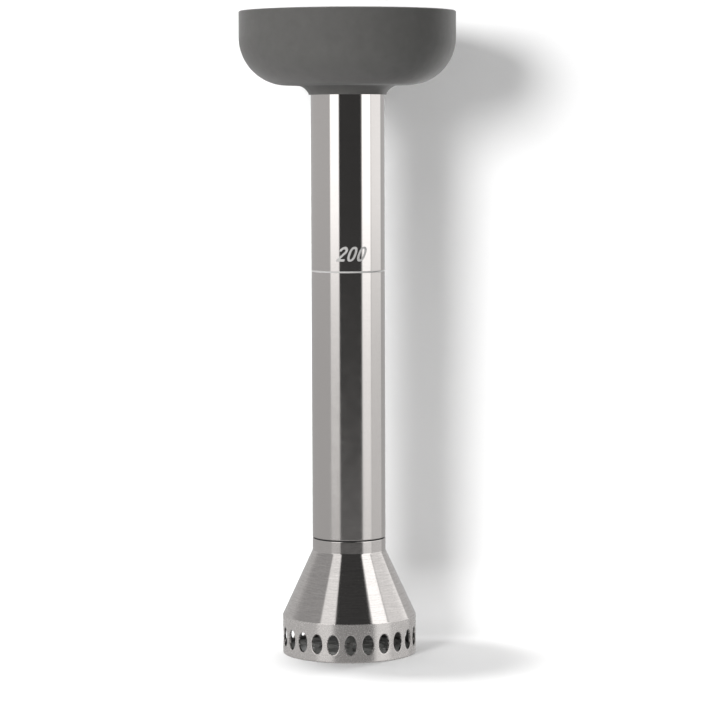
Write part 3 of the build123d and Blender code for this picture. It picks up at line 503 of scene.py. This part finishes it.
# ------------------------------------------------------------------------- foot

FOOT_R, FOOT_BORE = 34.8, 33.6
CYLINDER_TOP, CONE_TOP, COLLAR_TOP = 20.0, 54.0, 60.4
HOLES, HOLE_WIDE, HOLE_TALL, HOLE_Z = 24, 3.1, 5.15, 9.2
CELL_HALF = 7.2
CELL_ACROSS, CELL_UP = 8, 16
slope = math.atan2(FOOT_R - TUBE_R, CONE_TOP - CYLINDER_TOP)
drop = (FOOT_R - FOOT_BORE) * math.tan(slope / 2)
collar_bore = TUBE_R - (FOOT_R - FOOT_BORE)


def foot_cell(index):
    """One oval hole and the wall round it, out to halfway to the next hole."""
    middle = TAU * index / HOLES
    half = FOOT_R * math.pi / HOLES
    edge = [(half, -CELL_HALF + 2 * CELL_HALF * j / CELL_UP) for j in range(CELL_UP)]
    edge += [(half - 2 * half * i / CELL_ACROSS, CELL_HALF) for i in range(CELL_ACROSS)]
    edge += [(-half, CELL_HALF - 2 * CELL_HALF * j / CELL_UP) for j in range(CELL_UP)]
    edge += [(-half + 2 * half * i / CELL_ACROSS, -CELL_HALF) for i in range(CELL_ACROSS)]
    turn_at = [math.atan2(v / CELL_HALF, u / half) for u, v in edge]
    rings = [(FOOT_R, 0.22, s) for s in (1.0, 0.7, 0.4, 0.15, 0.0)]
    rings += [(FOOT_R - 0.06, 0.06, 0.0), (FOOT_R - 0.22, 0.0, 0.0)]
    rings += [(FOOT_BORE + 0.2, 0.0, 0.0), (FOOT_BORE + 0.05, 0.05, 0.0)]
    rings += [(FOOT_BORE, 0.2, s) for s in (0.0, 0.15, 0.5, 1.0)]
    verts, faces = [], []
    for r, grow, share in rings:
        for (u, v), t in zip(edge, turn_at):
            x = (HOLE_WIDE + grow) * math.cos(t)
            y = (HOLE_TALL + grow) * math.sin(t)
            x, y = x + (u - x) * share, y + (v - y) * share
            angle = middle + x / FOOT_R
            verts.append((r * math.cos(angle), r * math.sin(angle), HOLE_Z + y))
    count = len(edge)
    for k in range(len(rings) - 1):
        for i in range(count):
            j = (i + 1) % count
            faces.append((k * count + i, k * count + j, (k + 1) * count + j, (k + 1) * count + i))
    return verts, faces


verts, faces = [], []


def join(made):
    more, joined = made
    faces.extend(tuple(len(verts) + v for v in face) for face in joined)
    verts.extend(more)


for index in range(HOLES):
    join(foot_cell(index))
rim_low, rim_high = HOLE_Z - CELL_HALF, HOLE_Z + CELL_HALF
grid = HOLES * CELL_ACROSS
start_at = -math.pi / HOLES
below = rounded([(FOOT_R, rim_low, 0), (FOOT_R, 0, 0.5), (FOOT_BORE, 0, 0.3), (FOOT_BORE, rim_low, 0)])
above = rounded([
    (FOOT_R, rim_high, 0), (FOOT_R, CYLINDER_TOP, 0.8), (TUBE_R, CONE_TOP, 0.5),
    (TUBE_R, COLLAR_TOP, 0.25), (collar_bore, COLLAR_TOP, 0.2), (collar_bore, CONE_TOP - drop, 0.5),
    (FOOT_BORE, CYLINDER_TOP - drop, 0.5), (FOOT_BORE, rim_high, 0)])
join(turned(below, grid, start_at, closed=False))
join(turned(above, grid, start_at, closed=False))
foot = finish_mesh("foot_wall", verts, faces)
foot_steels = [steel_band, steel_cone, steel_collar, inside_steel_painted_shade]
place(foot, "foot", "polished_steel", foot_steels, "foot_shell")
FACE_SPARE, LIP_SPARE = 0.05, 0.3
for face in foot.data.polygons:
    z = face.center.z / MM
    faces_in = face.normal.xy.dot(face.center.xy) < 0
    # Inward faces below the collar lip take the dark inner steel, which paints shade into the hollow of the
    # foot.
    if faces_in and z < COLLAR_TOP - LIP_SPARE:
        face.material_index = foot_steels.index(inside_steel_painted_shade)
    elif z > CONE_TOP + FACE_SPARE:
        face.material_index = foot_steels.index(steel_collar)
    elif z > CYLINDER_TOP + FACE_SPARE:
        face.material_index = foot_steels.index(steel_cone)


# -------------------------------------------------- symbols on buttons and window

BUTTON_HIGH, BUTTON_STEP, BUTTON_Y = 333.9, 15.0, -30.0
SIGN, SIGN_LINE = 4.6, 0.9
POWER_R, POWER_LINE, POWER_BAR = 2.1, 0.75, 2.6
LIFT, SKIN = 0.02, 0.06


def flat_piece(name, loops, height, thick, body, slot, finish):
    """Thin flat shapes, each a ring between two loops of points, lying on a level face."""
    verts, faces = [], []
    for outer, inner in loops:
        count = len(outer)
        base = len(verts)
        for loop, z in ((outer, height - thick), (outer, height), (inner, height), (inner, height - thick)):
            verts += [(x, y, z) for x, y in loop]
        for k in range(3):
            for i in range(count):
                j = (i + 1) % count
                faces.append((base + k * count + i, base + k * count + j,
                              base + (k + 1) * count + j, base + (k + 1) * count + i))
    return place(finish_mesh(name, verts, faces), body, slot, finish)


def bar(x, y, wide, tall):
    """A bar with round ends, as an outer loop and a line down its middle."""
    along_x = wide > tall
    radius = min(wide, tall) / 2
    reach = max(wide, tall) / 2 - radius
    outer, inner = [], []
    for step in range(24):
        t = TAU * (step + 0.5) / 24
        push = math.copysign(reach, math.cos(t) if along_x else math.sin(t))
        dx, dy = (push, 0.0) if along_x else (0.0, push)
        outer.append((x + dx + radius * math.cos(t), y + dy + radius * math.sin(t)))
        inner.append((x + dx, y + dy))
    return outer, inner


def cross(x, y, across, thick):
    """A cross of two equal bars with round ends, as its outline and its middle point."""
    radius = thick / 2
    reach = across / 2 - radius
    outer = []
    for arm in range(4):
        way = TAU * arm / 4
        for step in range(9):
            t = way + math.pi * (step / 8 - 0.5)
            outer.append((x + reach * math.cos(way) + radius * math.cos(t),
                          y + reach * math.sin(way) + radius * math.sin(t)))
        corner, out = way + TAU / 8, radius * math.sqrt(2)
        outer.append((x + out * math.cos(corner), y + out * math.sin(corner)))
    return outer, [(x, y)] * len(outer)


def arc_band(x, y, radius, wide, start, end):
    """A closed loop along an arc, as the middle line and the band round it."""
    outer, inner = [], []
    steps = 30
    for way, r in ((1, radius + wide / 2), (-1, radius - wide / 2)):
        for step in range(steps + 1):
            share = step / steps if way > 0 else 1 - step / steps
            t = math.radians(start + (end - start) * share)
            outer.append((x + r * math.cos(t), y + r * math.sin(t)))
            inner.append((x + radius * math.cos(t), y + radius * math.sin(t)))
    return outer, inner


for name, loops in {
    "minus": [bar(-BUTTON_STEP, BUTTON_Y, SIGN, SIGN_LINE)],
    "plus": [cross(BUTTON_STEP, BUTTON_Y, SIGN, SIGN_LINE)],
    "power": [
        arc_band(0, BUTTON_Y - 0.2, POWER_R, POWER_LINE, -235, 55),
        bar(0, BUTTON_Y + 1.7, POWER_LINE, POWER_BAR)],
}.items():
    flat_piece(f"symbol_{name}", loops, BUTTON_HIGH + LIFT, SKIN, name, "button_rubber", symbol_white)

LENS_HIGH, DIGIT_Y = 333.7, 2.0
DIGIT_WIDE, DIGIT_TALL, SEGMENT = 5.6, 10.0, 1.0
POINT_X, POINT_SIZE = 4.5, 1.1
RING_X, RING_R, RING_LINE = 16.8, 1.0, 0.5
LIT = {"6": "acdefg", "0": "abcdef"}


def digit(x, name):
    """Seven-segment figure made of round-ended bars."""
    w, h, s = DIGIT_WIDE / 2, DIGIT_TALL / 2, SEGMENT
    reach, rise = DIGIT_WIDE - 1.3 * s, DIGIT_TALL / 2 - 1.3 * s
    spots = {
        "a": (0, h, reach, s), "g": (0, 0, reach, s), "d": (0, -h, reach, s),
        "b": (w, h / 2, s, rise), "c": (w, -h / 2, s, rise),
        "e": (-w, -h / 2, s, rise), "f": (-w, h / 2, s, rise),
    }
    lit = [spots[key] for key in LIT[name]]
    return [bar(x + dx, DIGIT_Y + dy, wide, tall) for dx, dy, wide, tall in lit]


loops = digit(-10.5, "6") + digit(-1.0, "0") + digit(10.0, "0")
loops.append(bar(POINT_X, DIGIT_Y - DIGIT_TALL / 2, POINT_SIZE, POINT_SIZE - 0.01))
loops.append(arc_band(RING_X, DIGIT_Y + DIGIT_TALL / 2 - 0.6, RING_R, RING_LINE, 0, 359.9))
flat_piece("display_figures", loops, LENS_HIGH + LIFT, SKIN - 0.01, "stick", "lens", segment_white)


# ------------------------------------------------------------------ stage, light

VIEW_AZIMUTH = -1.1
AIM = Vector((0, 0, 0.17))


def toward(azimuth, rise):
    """Direction from the object, in degrees round from the front view and up."""
    spin, tilt = math.radians(azimuth + VIEW_AZIMUTH), math.radians(rise)
    return Vector((math.sin(spin) * math.cos(tilt), -math.cos(spin) * math.cos(tilt), math.sin(tilt)))


def paper(name, floor_level, wall_level, fade):
    """Matte paper, paler up the wall, that only its front side shows: a view from behind sees through it."""
    made = bpy.data.materials.new(name)
    made.use_nodes = True
    tree = Tree(made.node_tree)
    front = tree.add("ShaderNodeBsdfDiffuse")
    clear = tree.add("ShaderNodeBsdfTransparent")
    side = tree.add("ShaderNodeNewGeometry")
    choose = tree.add("ShaderNodeMixShader")
    output = tree.add("ShaderNodeOutputMaterial")
    height = tree.add("ShaderNodeSeparateXYZ")
    tree.link(tree.coordinates(), height.inputs[0])
    level = tree.span(height.outputs[2], 0.0, fade, floor_level, wall_level, smooth=True)
    tree.link(level, front.inputs["Color"])
    tree.link(side.outputs["Backfacing"], choose.inputs[0])
    tree.link(front.outputs[0], choose.inputs[1])
    tree.link(clear.outputs[0], choose.inputs[2])
    tree.link(choose.outputs[0], output.inputs["Surface"])
    return made


WALL_Y, SWEEP_R, SWEEP_STEPS = 75.0, 38.0, 12
STAGE_HALF, STAGE_FRONT, STAGE_TOP = 450.0, -520.0, 640.0
FLOOR_PAPER, WALL_PAPER = 0.68, 0.9
outline = [(STAGE_FRONT, 0.0), (WALL_Y - SWEEP_R, 0.0)]
for step in range(1, SWEEP_STEPS + 1):
    t = math.pi / 2 * step / SWEEP_STEPS
    outline.append((WALL_Y - SWEEP_R + SWEEP_R * math.sin(t), SWEEP_R - SWEEP_R * math.cos(t)))
outline.append((WALL_Y, STAGE_TOP))
sweep_mesh = bpy.data.meshes.new("sweep")
sweep_mesh.from_pydata(
    [(x * MM, y * MM, z * MM) for y, z in outline for x in (-STAGE_HALF, STAGE_HALF)], [],
    [(2 * i, 2 * i + 1, 2 * i + 3, 2 * i + 2) for i in range(len(outline) - 1)])
sweep_mesh.polygons.foreach_set("use_smooth", [True] * len(sweep_mesh.polygons))
sweep_mesh.materials.append(paper("paper", FLOOR_PAPER, WALL_PAPER, SWEEP_R))
sweep = bpy.data.objects.new("sweep", sweep_mesh)
scene.collection.objects.link(sweep)
sweep.rotation_euler = (0, 0, math.radians(VIEW_AZIMUTH))
sweep.visible_glossy = False
sweep.visible_shadow = False


def lamp(name, azimuth, rise, far, size, power):
    """Round soft light that stays out of the steel's reflections."""
    data = bpy.data.lights.new(name, "AREA")
    data.shape, data.size, data.energy = "DISK", size, power
    made = bpy.data.objects.new(name, data)
    scene.collection.objects.link(made)
    made.location = AIM + toward(azimuth, rise) * far
    made.rotation_euler = (-toward(azimuth, rise)).to_track_quat("-Z", "Y").to_euler()
    made.visible_glossy = False


lamp("key", -30.3, 14.5, 2.4, 0.84, 50.0)
lamp("top", -119.4, 83.4, 1.8, 0.24, 30.0)
lamp("rim", 136.0, 3.0, 1.6, 0.5, 44.0)

# What the steel reflects: a grey studio with two strip lights, a card and a dark front. Each has where it
# starts and ends, in degrees round from the front view, and how bright it is below, level with and above
# the part.
SURROUND = (0.43, 0.50, 0.34)
PANELS = {
    "left_strip": (-57.0, -28.0, (0.50, 1.55, 0.92)),
    "dark_front": (-27.0, 42.5, (0.05, 0.04, 0.045)),
    "right_strip": (45.5, 76.0, (0.84, 1.60, 1.35)),
    "right_card": (78.0, 125.0, (0.62, 1.05, 0.82)),
}
PANEL_EDGE = 2.0
LEVEL_RISE, ABOVE_RISE = (-5.5, -0.5), (12.0, 22.0)
FLOOR_SEEN, FLOOR_RISE = 0.35, (-12.0, -9.5)
UNDER_SEEN, UNDER_RISE = 0.30, (-60.0, -35.0)
AMBIENT, AMBIENT_LEAN = 0.415, 0.75

world = bpy.data.worlds.new("studio")
scene.world = world
world.use_nodes = True
sky = Tree(world.node_tree)
path = sky.add("ShaderNodeLightPath")
split = sky.add("ShaderNodeSeparateXYZ")
spun = sky.add("ShaderNodeVectorRotate", rotation_type="Z_AXIS")
spun.inputs["Angle"].default_value = -math.radians(VIEW_AZIMUTH)
sky.link(sky.add("ShaderNodeTexCoord").outputs["Generated"], spun.inputs["Vector"])
sky.link(spun.outputs[0], split.inputs[0])
across, depth, up = split.outputs
round_it = sky.math("ARCTAN2", across, sky.math("MULTIPLY", depth, -1.0))
lift = sky.math("ARCSINE", up)


def blend(below, over, start, end):
    """Goes from one level to another as the direction rises from start to end degrees."""
    share = sky.span(lift, math.radians(start), math.radians(end), 0.0, 1.0, smooth=True)
    return sky.math("ADD", sky.math("MULTIPLY", over, share),
                    sky.math("MULTIPLY", below, sky.math("SUBTRACT", 1.0, share)))


def by_height(low, middle, high):
    """The level below, level with and above the part, by how the direction rises."""
    return blend(blend(low, middle, *LEVEL_RISE), high, *ABOVE_RISE)


def edge_at(azimuth, before, after):
    """A soft upright edge in the studio, from one level before the azimuth to another after it."""
    start, end = math.radians(azimuth - PANEL_EDGE), math.radians(azimuth + PANEL_EDGE)
    return sky.span(round_it, start, end, before, after, smooth=True)


seen = by_height(*SURROUND)
for start, end, levels in PANELS.values():
    inside = sky.math("MULTIPLY", edge_at(start, 0.0, 1.0), edge_at(end, 1.0, 0.0))
    more = sky.math("SUBTRACT", by_height(*levels), seen)
    seen = sky.math("MULTIPLY_ADD", inside, more, seen)
seen = blend(FLOOR_SEEN, seen, *FLOOR_RISE)
seen = blend(UNDER_SEEN, seen, *UNDER_RISE)
lean = sky.math("MULTIPLY", across, -AMBIENT_LEAN * AMBIENT)
ambient = sky.math("ADD", lean, AMBIENT)
# Soft light all round, the panels in reflections, and plain white where the camera sees past the paper.
level = sky.math("MULTIPLY_ADD", path.outputs["Is Glossy Ray"], sky.math("SUBTRACT", seen, ambient), ambient)
level = sky.math("MULTIPLY_ADD", path.outputs["Is Camera Ray"], sky.math("SUBTRACT", 1.0, level), level)
shade = sky.add("ShaderNodeBackground")
shade.inputs["Color"].default_value = (1, 1, 1, 1)
output = sky.add("ShaderNodeOutputWorld")
sky.link(level, shade.inputs["Strength"])
sky.link(shade.outputs[0], output.inputs["Surface"])
world.cycles.sampling_method = "MANUAL"
world.cycles.sample_map_resolution = 512


# ----------------------------------------------------------------------- camera

CAMERA_SIDE, CAMERA_FAR, CAMERA_UP = 2.12, 1475.0, 273.6
PITCH, ROLL, LENS = 4.51, 0.2, 145.07
camera_data = bpy.data.cameras.new("camera")
camera_data.lens = LENS
camera_data.clip_start, camera_data.clip_end = 0.05, 20
camera = bpy.data.objects.new("camera", camera_data)
scene.collection.objects.link(camera)
spin = Matrix.Rotation(math.radians(VIEW_AZIMUTH), 3, "Z")
camera.location = spin @ Vector((CAMERA_SIDE, -CAMERA_FAR, CAMERA_UP)) * MM
tilt = Matrix.Rotation(math.radians(90 - PITCH), 3, "X")
camera.rotation_euler = (spin @ tilt @ Matrix.Rotation(math.radians(-ROLL), 3, "Z")).to_euler()
scene.camera = camera
scene.view_settings.view_transform = "Standard"
